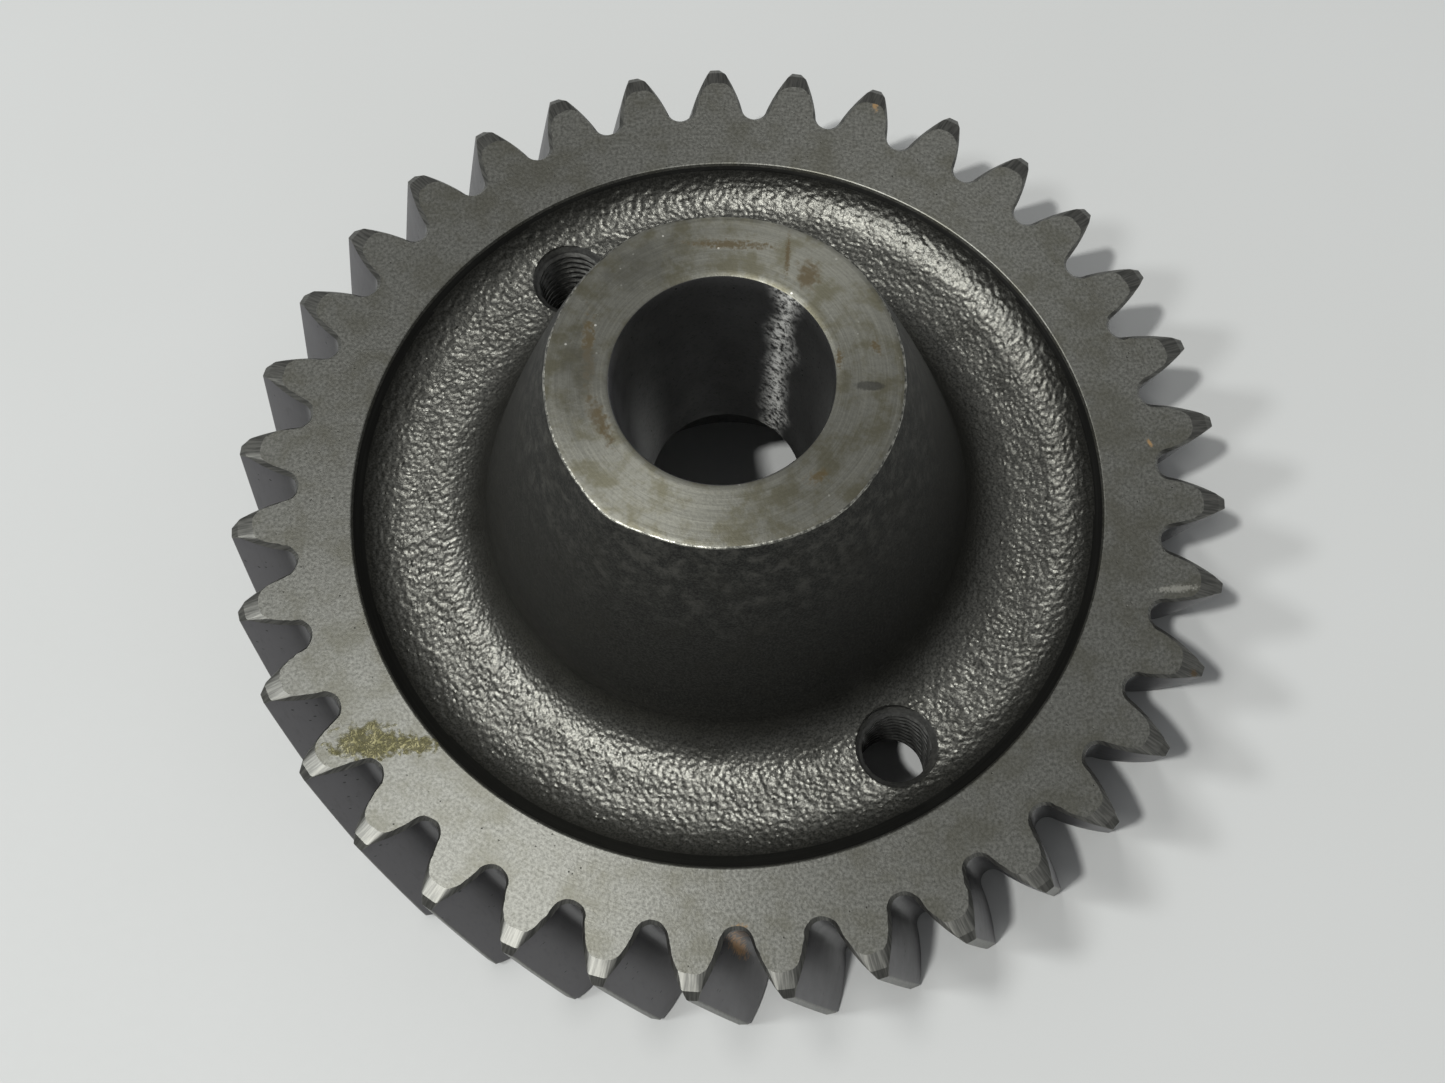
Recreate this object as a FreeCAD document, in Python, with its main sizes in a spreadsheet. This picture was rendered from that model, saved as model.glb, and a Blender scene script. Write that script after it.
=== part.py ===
"""Left-hand helical gear with a tapered-bore hub and two tapped puller holes.

One steel forging, split along its own zones into three bodies that meet face to face:
toothed_rim, web and hub. Units are millimetres. +Z runs up the bore towards the hub's end,
and z = 0 is the lower end face of the teeth, which is what the gear rests on.
"""

import FreeCAD, Part
import math
import os

import Sketcher
from FreeCAD import Placement, Rotation, Vector

Z_AXIS = Vector(0, 0, 1)
FULL_TURN = 360.0

DIMENSIONS = {
    # gear cutting data
    "teeth": 35,
    "normal_module": 4.0,
    "helix_angle": 13.0,
    "normal_pressure_angle": 24.0,
    "tooth_thickness": 5.53,
    "tip_radius": 75.8,
    "root_radius": 66.0,
    "flank_start_radius": 67.6,
    "face_width": 32.0,
    "first_gap_angle": 86.0,
    # end chamfers of the teeth: a shallow run-in, then a steep corner
    "run_in_radius": 72.3,
    "corner_radius": 74.7,
    "corner_depth": 0.65,
    "tip_depth": 1.6,
    # recess turned into each side of the rim
    "recess_radius": 57.0,
    "recess_edge_break": 0.4,
    # forged web
    "web_back": 9.5,
    "web_floor": 27.8,
    "trough_rise_radius": 52.6,
    "trough_rim_height": 31.4,
    "hub_fillet": 9.0,
    "trough_fillet": 9.0,
    "back_cove_radius": 51.5,
    "back_cove_foot": 4.0,
    # tapped puller holes
    "puller_circle_radius": 46.0,
    "puller_angle": -57.0,
    "puller_count": 2,
    "thread_core_radius": 5.1,
    "spotface_radius": 6.2,
    "spotface_height": 28.0,
    "spotface_cone": 0.9,
    # hub, with its bore tapering 1 in 5 on the diameter
    "hub_end": 74.5,
    "hub_end_radius": 24.1,
    "hub_base_radius": 36.5,
    "hub_base_height": 34.4,
    "bore_mouth_radius": 15.05,
    "bore_taper": 0.1,
    "bore_edge_break": 0.4,
    "hub_edge_break": 0.5,
    # pocket behind the hub for the shaft nut
    "nut_pocket_radius": 21.0,
    "nut_seat": 36.5,
    "pocket_edge_break": 1.0,
}


def make_sheet(doc):
    """The driving dimensions, one aliased cell each, in column B beside their names."""
    sheet = doc.addObject("Spreadsheet::Sheet", "Sizes")
    for row, (name, value) in enumerate(DIMENSIONS.items(), start=1):
        sheet.set(f"A{row}", name)
        sheet.set(f"B{row}", str(value))
        sheet.setAlias(f"B{row}", name)
    doc.recompute()
    return sheet


def size(name):
    """One driving dimension, in millimetres or degrees."""
    return float(SHEET.get(name))


def cell(name):
    """The expression that reads one driving dimension."""
    return f"Sizes.{name}"


def make_body(name):
    body = DOC.addObject("PartDesign::Body", name)
    body.Label = name
    return body


def plane(body, role):
    return next(f for f in body.Origin.OriginFeatures if f.Role == role)


def attach(body, name, role):
    sketch = body.newObject("Sketcher::SketchObject", name)
    sketch.AttachmentSupport = (plane(body, role), [""])
    sketch.MapMode = "FlatFace"
    return sketch


def pin_coordinate(sketch, kind, line, expression):
    """Holds one coordinate of a line's start point at an expression, or on the axis for zero."""
    if expression == "0":
        axis = -2 if kind == "DistanceX" else -1
        sketch.addConstraint(Sketcher.Constraint("PointOnObject", line, 1, axis))
        return
    point = sketch.getPoint(line, 1)
    value = point.x if kind == "DistanceX" else point.y
    index = sketch.addConstraint(Sketcher.Constraint(kind, -1, 1, line, 1, value))
    sketch.setExpression(f"Constraints[{index}]", expression)


def evaluate(expression):
    """The present value of an expression, used to draw a corner near its place."""
    return float(SHEET.evalExpression(expression))


def section(body, name, corners):
    """A closed outline in the XZ plane; each corner is a pair of expressions, radius and height."""
    sketch = attach(body, name, "XZ_Plane")
    points = [Vector(evaluate(x), evaluate(y), 0) for x, y in corners]
    count = len(points)
    for i in range(count):
        sketch.addGeometry(Part.LineSegment(points[i], points[(i + 1) % count]), False)
    for i in range(count):
        sketch.addConstraint(Sketcher.Constraint("Coincident", i, 2, (i + 1) % count, 1))
    for i, (x, y) in enumerate(corners):
        pin_coordinate(sketch, "DistanceX", i, x)
        pin_coordinate(sketch, "DistanceY", i, y)
    sketch.Visibility = False
    return sketch


def turn(body, name, corners):
    """A full revolution of a section about the bore axis."""
    sketch = section(body, name + "_section", corners)
    feature = body.newObject("PartDesign::Revolution", name)
    feature.Profile = sketch
    feature.ReferenceAxis = (sketch, ["V_Axis"])
    feature.Angle = FULL_TURN
    DOC.recompute()
    return feature


def ring_edges(feature, radius, height):
    """Names of the circular edges of a turned feature at one radius and height."""
    near = 1e-4
    names = []
    for i, edge in enumerate(feature.Shape.Edges, start=1):
        curve = edge.Curve
        if not isinstance(curve, Part.Circle):
            continue
        if abs(curve.Radius - radius) < near and abs(curve.Center.z - height) < near:
            names.append(f"Edge{i}")
    return names


def round_ring(body, name, base, radius, height, fillet):
    """Fillets the ring edge at one radius and height of a turned base."""
    feature = body.newObject("PartDesign::Fillet", name)
    feature.Base = (base, ring_edges(base, radius, height))
    feature.setExpression("Radius", cell(fillet))
    DOC.recompute()
    return feature


def pattern_about_bore(body, name, original, count_name):
    """Repeats a feature evenly about the bore axis, and makes the pattern the body's tip."""
    before = body.Shape.Volume
    pattern = body.newObject("PartDesign::PolarPattern", name)
    pattern.Originals = [original]
    pattern.Axis = (plane(body, "Z_Axis"), [""])
    pattern.Angle = FULL_TURN
    pattern.setExpression("Occurrences", cell(count_name))
    body.Tip = pattern
    DOC.recompute()
    if not body.Shape.Volume < before:
        raise RuntimeError(f"{name} removed nothing")
    return pattern


def gear_geometry():
    """Pitch radius, base radius and the tooth's twist over the face width, from the cutting data."""
    helix = math.radians(size("helix_angle"))
    pitch_radius = size("teeth") * size("normal_module") / math.cos(helix) / 2
    pressure = math.atan(math.tan(math.radians(size("normal_pressure_angle"))) / math.cos(helix))
    twist = math.degrees(size("face_width") * math.tan(helix) / pitch_radius)
    return pitch_radius, pitch_radius * math.cos(pressure), twist


def involute(angle):
    return math.tan(angle) - angle


def half_gap_angle(radius):
    """Half the angle of a tooth space at a radius, by the involute formula."""
    pitch_radius, base_radius, _ = gear_geometry()
    at_pitch = involute(math.acos(base_radius / pitch_radius))
    at_radius = involute(math.acos(base_radius / radius))
    half_tooth = size("tooth_thickness") / (2 * pitch_radius) + at_pitch - at_radius
    return math.pi / size("teeth") - half_tooth


def gap_sketch(body, name, height, rotation):
    """One tooth space at a height: two involute flanks, a round root and a closing line outside."""
    samples = 6
    beyond_tip = 1.5
    first, last = size("flank_start_radius"), size("tip_radius") + beyond_tip
    radii = [first + (last - first) * k / (samples - 1) for k in range(samples)]
    flank = [Vector(r * math.cos(half_gap_angle(r)), r * math.sin(half_gap_angle(r)), 0) for r in radii]
    mirrored = [Vector(p.x, -p.y, 0) for p in flank]
    upper = Part.BSplineCurve()
    upper.interpolate(flank)
    lower = Part.BSplineCurve()
    lower.interpolate(mirrored[::-1])
    root = Part.Arc(mirrored[0], Vector(size("root_radius"), 0, 0), flank[0])
    sketch = attach(body, name, "XY_Plane")
    sketch.AttachmentOffset = Placement(Vector(0, 0, height), Rotation(Z_AXIS, rotation))
    sketch.addGeometry([upper, Part.LineSegment(flank[-1], mirrored[-1]), lower, root], False)
    sketch.Visibility = False
    return sketch


def cut_teeth(body):
    """Cuts one helical tooth space by a loft through turned sections, and repeats it all round."""
    twist = gear_geometry()[2]
    face_width = size("face_width")
    overrun = 1.0
    stations = 4
    sketches = []
    for k in range(stations):
        height = -overrun + (face_width + 2 * overrun) * k / (stations - 1)
        rotation = (face_width - height) / face_width * twist
        sketches.append(gap_sketch(body, f"gap_section_{k + 1}", height, rotation))
    gap = body.newObject("PartDesign::SubtractiveLoft", "tooth_space")
    gap.Profile = sketches[0]
    gap.Sections = sketches[1:]
    DOC.recompute()
    return pattern_about_bore(body, "tooth_spaces", gap, "teeth")


def make_toothed_rim():
    """The machined ring: end chamfers on the blank, recess lips, and the helical teeth."""
    body = make_body("toothed_rim")
    top = cell("face_width")
    lip = cell("recess_radius") + " + " + cell("recess_edge_break")
    blank = [
        (cell("recess_radius"), cell("recess_edge_break")),
        (lip, "0"),
        (cell("run_in_radius"), "0"),
        (cell("corner_radius"), cell("corner_depth")),
        (cell("tip_radius"), cell("tip_depth")),
        (cell("tip_radius"), top + " - " + cell("tip_depth")),
        (cell("corner_radius"), top + " - " + cell("corner_depth")),
        (cell("run_in_radius"), top),
        (lip, top),
        (cell("recess_radius"), top + " - " + cell("recess_edge_break")),
    ]
    turn(body, "blank", blank)
    cut_teeth(body)
    body.Placement = Placement(Vector(0, 0, 0), Rotation(Z_AXIS, size("first_gap_angle")))
    return body


def make_web():
    """The forged disc between rim and hub, with its trough in front and two tapped holes."""
    body = make_body("web")
    outline = [
        (cell("hub_base_radius"), cell("web_back")),
        (cell("back_cove_radius"), cell("web_back")),
        (cell("recess_radius"), cell("back_cove_foot")),
        (cell("recess_radius"), cell("trough_rim_height")),
        (cell("trough_rise_radius"), cell("web_floor")),
        (TROUGH_START, cell("web_floor")),
        (cell("hub_base_radius"), cell("hub_base_height")),
    ]
    disc = turn(body, "disc", outline)
    floor = size("web_floor")
    outside = round_ring(body, "trough_outside", disc, size("trough_rise_radius"), floor, "trough_fillet")
    inside = round_ring(body, "trough_inside", outside, evaluate(TROUGH_START), floor, "hub_fillet")
    cove = size("back_cove_radius")
    round_ring(body, "back_cove", inside, cove, size("web_back"), "trough_fillet")

    clear_of_web = 60.0
    cone_foot = cell("spotface_height") + " - " + cell("spotface_cone")
    hole = [
        ("0", "0"),
        (cell("thread_core_radius"), "0"),
        (cell("thread_core_radius"), cone_foot),
        (cell("spotface_radius"), cell("spotface_height")),
        (cell("spotface_radius"), str(clear_of_web)),
        ("0", str(clear_of_web)),
    ]
    sketch = section(body, "puller_hole_section", hole)
    sketch.setExpression(".AttachmentOffset.Base.x", cell("puller_circle_radius"))
    groove = body.newObject("PartDesign::Groove", "puller_hole")
    groove.Profile = sketch
    groove.ReferenceAxis = (sketch, ["V_Axis"])
    groove.Angle = FULL_TURN
    DOC.recompute()
    pattern_about_bore(body, "puller_holes", groove, "puller_count")
    body.Placement = Placement(Vector(0, 0, 0), Rotation(Z_AXIS, size("puller_angle")))
    return body


def make_hub():
    """The conical boss: tapered bore from its end face down to the nut seat, pocket below."""
    body = make_body("hub")
    outline = [
        (cell("nut_pocket_radius"), cell("web_back") + " + " + cell("pocket_edge_break")),
        (cell("nut_pocket_radius") + " + " + cell("pocket_edge_break"), cell("web_back")),
        (cell("hub_base_radius"), cell("web_back")),
        (cell("hub_base_radius"), cell("hub_base_height")),
        (cell("hub_end_radius"), cell("hub_end") + " - " + cell("hub_edge_break")),
        (cell("hub_end_radius") + " - " + cell("hub_edge_break"), cell("hub_end")),
        (cell("bore_mouth_radius") + " + " + cell("bore_edge_break"), cell("hub_end")),
        (cell("bore_mouth_radius"), cell("hub_end") + " - " + cell("bore_edge_break")),
        (BORE_SMALL_END, cell("nut_seat")),
        (cell("nut_pocket_radius"), cell("nut_seat")),
    ]
    turn(body, "boss", outline)
    return body


def check_document():
    """Stops with a message if any object failed to compute."""
    for item in DOC.Objects:
        failed = [state for state in item.State if state in ("Invalid", "Error")]
        if failed:
            raise RuntimeError(f"{item.Label} is {failed}")


def export(bodies):
    """Writes each body's solid to parts/NODE.step after testing it."""
    for body in bodies:
        shape = body.Shape
        if shape.isNull() or not shape.isValid() or len(shape.Solids) != 1:
            raise RuntimeError(f"{body.Label} is not one valid solid")
    os.makedirs("parts", exist_ok=True)
    for body in bodies:
        body.Shape.exportStep(f"parts/{body.Label}.step")
        box = body.Shape.optimalBoundingBox()
        print(f"{body.Label}: {body.Shape.Volume:.0f} mm3, z {box.ZMin:.2f} to {box.ZMax:.2f}")


DOC = FreeCAD.newDocument("helical_gear")
SHEET = make_sheet(DOC)

# radius at which the hub's cone, carried on down, meets the web floor
TROUGH_START = (
    "Sizes.hub_base_radius + (Sizes.hub_base_radius - Sizes.hub_end_radius)"
    " * (Sizes.hub_base_height - Sizes.web_floor) / (Sizes.hub_end - Sizes.hub_base_height)"
)
# radius of the tapered bore where it ends, at the nut seat
BORE_SMALL_END = "Sizes.bore_mouth_radius - Sizes.bore_taper * (Sizes.hub_end - Sizes.nut_seat)"

BODIES = [make_toothed_rim(), make_web(), make_hub()]
DOC.recompute()
check_document()
export(BODIES)
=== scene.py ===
import math

import bpy
import numpy as np
from mathutils import Matrix, Vector


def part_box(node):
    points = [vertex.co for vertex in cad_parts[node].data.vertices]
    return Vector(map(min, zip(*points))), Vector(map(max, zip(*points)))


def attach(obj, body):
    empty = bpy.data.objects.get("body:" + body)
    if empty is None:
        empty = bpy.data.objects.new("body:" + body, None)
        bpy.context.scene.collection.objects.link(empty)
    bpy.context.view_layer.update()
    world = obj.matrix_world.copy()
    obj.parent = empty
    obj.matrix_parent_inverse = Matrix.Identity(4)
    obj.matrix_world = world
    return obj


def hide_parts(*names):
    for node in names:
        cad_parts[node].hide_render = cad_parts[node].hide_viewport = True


# The looks of a left-hand helical gear forged in one piece. The row frame has its origin on the
# bore axis, in the plane of the lower tooth ends, with +Z up the bore. Shapes are worked out in
# millimetres and scaled to metres when their mesh is made.

MM = 0.001

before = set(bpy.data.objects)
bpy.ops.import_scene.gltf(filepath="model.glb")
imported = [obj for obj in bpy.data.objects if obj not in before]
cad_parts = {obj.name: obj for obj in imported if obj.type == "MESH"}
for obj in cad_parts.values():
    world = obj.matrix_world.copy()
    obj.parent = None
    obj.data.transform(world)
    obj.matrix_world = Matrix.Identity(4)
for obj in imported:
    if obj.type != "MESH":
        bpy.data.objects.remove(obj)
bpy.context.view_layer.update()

RIM_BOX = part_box("toothed_rim")
WEB_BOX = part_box("web")
HUB_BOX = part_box("hub")

# heights and the seam between web and hub, from the frame
FACE = RIM_BOX[1].z / MM
WEB_BACK = HUB_BOX[0].z / MM
SEAM_HEIGHT = WEB_BOX[1].z / MM
HUB_END = HUB_BOX[1].z / MM
SEAM_RADIUS = HUB_BOX[1].x / MM

# gear cutting data
TEETH = 35
NORMAL_MODULE = 4.0
HELIX = math.radians(13.0)
NORMAL_PRESSURE = math.radians(24.0)
TOOTH_THICKNESS = 5.53
ROOT_RADIUS = 66.0
FLANK_START = 67.6
TIP_RADIUS = 75.8
FIRST_GAP = math.radians(86.0)
PITCH_RADIUS = TEETH * NORMAL_MODULE / math.cos(HELIX) / 2
PRESSURE = math.atan(math.tan(NORMAL_PRESSURE) / math.cos(HELIX))
BASE_RADIUS = PITCH_RADIUS * math.cos(PRESSURE)
TWIST_PER_MM = math.tan(HELIX) / PITCH_RADIUS

# recess turned into each side of the rim, and the forging inside it
LIP_RADIUS = 57.0
LIP_BREAK = 0.4
MACHINED_SLOPE = 0.9
TROUGH_FLOOR = 27.8
BOWL_RADIUS = 9.0
HUB_FILLET = 9.0

# hub
HUB_END_RADIUS = 24.15
CONE_SPREAD = 0.36
CONE_BULGE = 0.00142
BORE_MOUTH = 15.05
BORE_TAPER = 0.1
NUT_SEAT = 36.5
NUT_POCKET = 21.0

# where a bright strip is painted down the bore as a glint, in degrees
PAINTED_GLINT_ANGLE = 54.0

# strengths of the room's light, and of the backdrop behind the table
HORIZON_LIGHT = 0.14
ZENITH_LIGHT = 0.32
BACKDROP_LIGHT = 0.6

# tapped puller holes, M12 x 1.75
PULLER_CIRCLE = 46.0
PULLER_ANGLE = math.radians(-57.0)
THREAD_CORE = 5.1
THREAD_ROOT = 6.0
THREAD_PITCH = 1.75
COUNTERSINK_FOOT = 26.8
COUNTERSINK_LIMIT = 6.15


# ---------------------------------------------------------------- repeatable noise on arrays


def lattice_value(ix, iy, iz, salt):
    """A repeatable number from 0 to 1 for each lattice point."""
    mix = (ix * 73856093) ^ (iy * 19349663) ^ (iz * 83492791) ^ (salt * 668265263)
    mix = mix & 0x7FFFFFFF
    mix = ((mix ^ (mix >> 13)) * 1274126177) & 0x7FFFFFFF
    mix = mix ^ (mix >> 16)
    return (mix & 0xFFFFF) / float(0x100000)


def smooth_noise(points, size, salt=0):
    """Value noise from -1 to 1, with features of about the given size in millimetres."""
    scaled = points / size
    low = np.floor(scaled).astype(np.int64)
    part = scaled - low
    part = part * part * (3 - 2 * part)
    total = np.zeros(points.shape[:-1])
    for corner in range(8):
        step = np.array([corner & 1, (corner >> 1) & 1, corner >> 2])
        weight = np.prod(np.where(step == 1, part, 1 - part), axis=-1)
        at = low + step
        total += weight * lattice_value(at[..., 0], at[..., 1], at[..., 2], salt)
    return total * 2 - 1


def cell_gap(points, size, salt=0):
    """Distance from the border between cells, 0 on it, for cells of about the given size."""
    scaled = points / size
    home = np.floor(scaled).astype(np.int64)
    nearest = np.full(points.shape[:-1], 9.0)
    second = np.full(points.shape[:-1], 9.0)
    for code in range(27):
        step = np.array([code % 3 - 1, code // 3 % 3 - 1, code // 9 - 1])
        at = home + step
        ix, iy, iz = at[..., 0], at[..., 1], at[..., 2]
        seed = np.stack([lattice_value(ix, iy, iz, salt + k) for k in (1, 2, 3)], axis=-1)
        gap = np.linalg.norm(at + seed - scaled, axis=-1)
        second = np.minimum(second, np.maximum(nearest, gap))
        nearest = np.minimum(nearest, gap)
    return second - nearest


def ramp(value, start, end):
    """Smooth step of a value from 0 at start to 1 at end."""
    t = np.clip((value - start) / (end - start), 0, 1)
    return t * t * (3 - 2 * t)


# ---------------------------------------------------------------- meshes


def ring_angles(count):
    return np.arange(count) * (2 * math.pi / count)


def revolve(profile, angles):
    """Grid of points: one row for each (radius, height), one column for each angle."""
    radius = np.array([p[0] for p in profile])[:, None]
    height = np.array([p[1] for p in profile])[:, None]
    grid = np.empty((len(profile), len(angles), 3))
    grid[..., 0] = radius * np.cos(angles)
    grid[..., 1] = radius * np.sin(angles)
    grid[..., 2] = height
    return grid


def grid_faces(rows, columns, close_rows=False):
    """Quads of a grid that closes on itself sideways; a profile traced clockwise faces outward."""
    index = np.arange(rows * columns).reshape(rows, columns)
    here = index if close_rows else index[:-1]
    below = np.roll(index, -1, axis=0) if close_rows else index[1:]
    quads = [here, below, np.roll(below, -1, axis=1), np.roll(here, -1, axis=1)]
    return np.stack(quads, axis=-1).reshape(-1, 4)


def grid_normals(grid):
    """Unit outward normals of a clockwise grid."""
    down = np.gradient(grid, axis=0)
    side = np.roll(grid, -1, axis=1) - np.roll(grid, 1, axis=1)
    normal = np.cross(down, side)
    return normal / np.maximum(np.linalg.norm(normal, axis=-1, keepdims=True), 1e-12)


def make_piece(name, points, faces, materials, face_material, node, sharp_angle, flat=None):
    """A mesh object in metres that rides on the gear and stands for its CAD node."""
    mesh = bpy.data.meshes.new(name)
    mesh.vertices.add(len(points))
    mesh.vertices.foreach_set("co", (points * MM).astype(np.float32).ravel())
    mesh.loops.add(faces.size)
    mesh.loops.foreach_set("vertex_index", faces.astype(np.int32).ravel())
    mesh.polygons.add(len(faces))
    mesh.polygons.foreach_set("loop_start", np.arange(len(faces), dtype=np.int32) * 4)
    mesh.polygons.foreach_set("material_index", face_material.astype(np.int32))
    mesh.update(calc_edges=True)
    mesh.validate()
    mesh.shade_smooth()
    mesh.set_sharp_from_angle(angle=math.radians(sharp_angle))
    if flat is not None:
        mesh.polygons.foreach_set("use_smooth", ~flat)
    for material in materials:
        mesh.materials.append(material)
    piece = bpy.data.objects.new(name, mesh)
    bpy.context.scene.collection.objects.link(piece)
    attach(piece, "root")
    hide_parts(node)
    return piece


# ---------------------------------------------------------------- toothed rim


def involute(angle):
    return math.tan(angle) - angle


def half_tooth(radius):
    """Half the angle that a tooth takes up at a radius."""
    at_radius = involute(math.acos(BASE_RADIUS / radius))
    return TOOTH_THICKNESS / (2 * PITCH_RADIUS) + involute(PRESSURE) - at_radius


def root_arc(samples, inset):
    """Half of the round root, from the middle of the space to the flank, in tooth coordinates."""
    half_pitch = math.pi / TEETH
    gap = half_pitch - half_tooth(FLANK_START) + inset / FLANK_START
    root = ROOT_RADIUS - 0.9 * inset
    x, y = FLANK_START * math.cos(gap), FLANK_START * math.sin(gap)
    centre = (FLANK_START**2 - root**2) / (2 * (x - root))
    arc = centre - root
    sweep = math.atan2(y, centre - x)
    points = []
    for k in range(samples):
        turn = sweep * k / samples
        px, py = centre - arc * math.cos(turn), arc * math.sin(turn)
        points.append((math.hypot(px, py), math.atan2(py, px) - half_pitch))
    return points


ROOT_SAMPLES, FLANK_SAMPLES, CORNER_SAMPLES, LAND_SAMPLES = 6, 12, 6, 3


def half_outline(limit, corner, inset):
    """Radius and angle along one side of a tooth thinned by an inset, up to the middle of its tip."""
    points = root_arc(ROOT_SAMPLES, inset)
    flank_end = limit - corner
    for k in range(FLANK_SAMPLES):
        radius = FLANK_START + (flank_end - FLANK_START) * k / (FLANK_SAMPLES - 1)
        points.append((radius, inset / radius - half_tooth(radius)))
    start = points[-1]
    sharp = (limit, inset / limit - half_tooth(limit))
    land = (limit, min(sharp[1] + corner / limit, -0.45 / limit))
    for k in range(1, CORNER_SAMPLES + 1):
        t = k / CORNER_SAMPLES
        a, b, c = (1 - t) ** 2, 2 * t * (1 - t), t * t
        points.append((a * start[0] + b * sharp[0] + c * land[0], a * start[1] + b * sharp[1] + c * land[1]))
    for k in range(1, LAND_SAMPLES):
        points.append((limit, land[1] * (1 - k / LAND_SAMPLES)))
    return points


def gear_outline(limit, corner, inset, height):
    """The closed outline of all the teeth at a height, worn a little unevenly where it is inset."""
    side = half_outline(limit, corner, inset)
    tooth = side + [(limit, 0.0)] + [(r, -a) for r, a in side[:0:-1]]
    radius = np.tile([p[0] for p in tooth], TEETH)
    local = np.tile([p[1] for p in tooth], TEETH)
    count = np.repeat(np.arange(TEETH) + 0.5, len(tooth))
    angle = local + count * (2 * math.pi / TEETH) + FIRST_GAP + (FACE - height) * TWIST_PER_MM
    outline = np.stack([radius * np.cos(angle), radius * np.sin(angle)], axis=-1)
    along = np.roll(outline, -1, axis=0) - np.roll(outline, 1, axis=0)
    normal = np.stack([along[:, 1], -along[:, 0]], axis=-1)
    normal /= np.linalg.norm(normal, axis=-1, keepdims=True)
    wear_at = np.concatenate([outline, np.full((len(outline), 1), height)], axis=-1)
    wear = inset * (0.17 * smooth_noise(wear_at, 1.1, 5) + 0.08 * smooth_noise(wear_at, 0.45, 6))
    outline = outline - normal * wear[:, None]
    return np.concatenate([outline, np.full((len(outline), 1), height)], axis=-1)


def build_rim(face_metal, chamfer_metal, flank_metal):
    """The toothed ring as one closed shell, traced from the upper recess lip outward and round."""
    ends = [(0.0, 72.3, 1.7, 0.6), (0.62, 74.65, 0.45, 0.06), (1.6, TIP_RADIUS, 0.15, 0.0)]
    levels = [(FACE - drop, limit, corner, inset) for drop, limit, corner, inset in ends]
    middle = 14
    for k in range(1, middle):
        height = (FACE - 1.6) + (3.2 - FACE) * k / middle
        levels.append((height, TIP_RADIUS, 0.15, 0.0))
    levels += [(drop, limit, corner, inset) for drop, limit, corner, inset in reversed(ends)]
    teeth = np.stack([gear_outline(limit, corner, inset, height) for height, limit, corner, inset in levels])

    def inner_ring(radius, height, outline):
        angle = np.arctan2(outline[:, 1], outline[:, 0])
        ring = np.stack([radius * np.cos(angle), radius * np.sin(angle)], axis=-1)
        return np.concatenate([ring, np.full((len(ring), 1), height)], axis=-1)

    top, bottom = teeth[0], teeth[-1]
    lip = LIP_RADIUS + LIP_BREAK
    upper = [
        inner_ring(LIP_RADIUS, FACE - 6.0, top),
        inner_ring(LIP_RADIUS, FACE - LIP_BREAK - 0.08, top),
        inner_ring(LIP_RADIUS + 0.06, FACE - LIP_BREAK + 0.04, top),
        inner_ring(lip - 0.1, FACE - 0.05, top),
        inner_ring(lip + 0.05, FACE, top),
        inner_ring(ROOT_RADIUS - 2.0, FACE, top),
    ]
    lower = [
        inner_ring(ROOT_RADIUS - 2.0, 0.0, bottom),
        inner_ring(lip, 0.0, bottom),
        inner_ring(LIP_RADIUS, LIP_BREAK, bottom),
        inner_ring(LIP_RADIUS, 6.0, bottom),
    ]
    grid = np.stack(upper + list(teeth) + lower)
    rows, columns = grid.shape[:2]
    faces = grid_faces(rows, columns, close_rows=True)

    FACE_METAL, CHAMFER, FLANK = 0, 1, 2
    region = np.full((rows, columns), FACE_METAL)
    first = len(upper)
    per_tooth = columns // TEETH
    step = np.arange(columns) % per_tooth
    flank_end = ROOT_SAMPLES + FLANK_SAMPLES - 1
    on_tip = (step >= flank_end) & (step < per_tooth - flank_end)
    region[first : first + len(levels) - 1] = np.where(on_tip, CHAMFER, FLANK)
    region[first] = CHAMFER
    region[first + len(levels) - 2] = CHAMFER
    plane = np.zeros((rows, columns), bool)
    plane[first - 2 : first] = True
    plane[first + len(levels) - 1 : first + len(levels) + 1] = True
    make_piece(
        "rim_teeth",
        grid.reshape(-1, 3),
        faces,
        [face_metal, chamfer_metal, flank_metal],
        region.reshape(-1),
        "toothed_rim",
        15,
        plane.reshape(-1),
    )


# ---------------------------------------------------------------- forging skin shared by web and hub


def cone_radius(height):
    """Radius of the hub's slightly bulging cone at a height."""
    drop = HUB_END - height
    return HUB_END_RADIUS + CONE_SPREAD * drop - CONE_BULGE * drop * drop


def skin_relief(points, strength):
    """Height of the blasted forging skin above its smooth form, with wrinkles between small lumps."""
    warp = np.stack([smooth_noise(points, 1.6, salt) for salt in (11, 12, 13)], axis=-1)
    lumps = ramp(cell_gap(points + 0.35 * warp, 0.74, 21), 0.0, 0.42) - 0.5
    fine = smooth_noise(points, 0.6, 31)
    broad = smooth_noise(points, 3.1, 41)
    return strength * (0.17 * lumps + 0.04 * fine + 0.05 * broad)


def skin_strength(points):
    """How rough the forging skin is: 1 in the trough, fading to a fine grain up the hub."""
    height = points[..., 2]
    radius = np.hypot(points[..., 0], points[..., 1])
    return 0.2 + 0.8 * ramp(radius, 36.0, 43.0) * ramp(height, 33.5, 30.0)


def lip_width(angle):
    """Width of the turned cone inside the recess lip, which the forging leaves uneven."""
    return 1.15 - 0.8 * np.cos(angle - math.radians(80))


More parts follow.
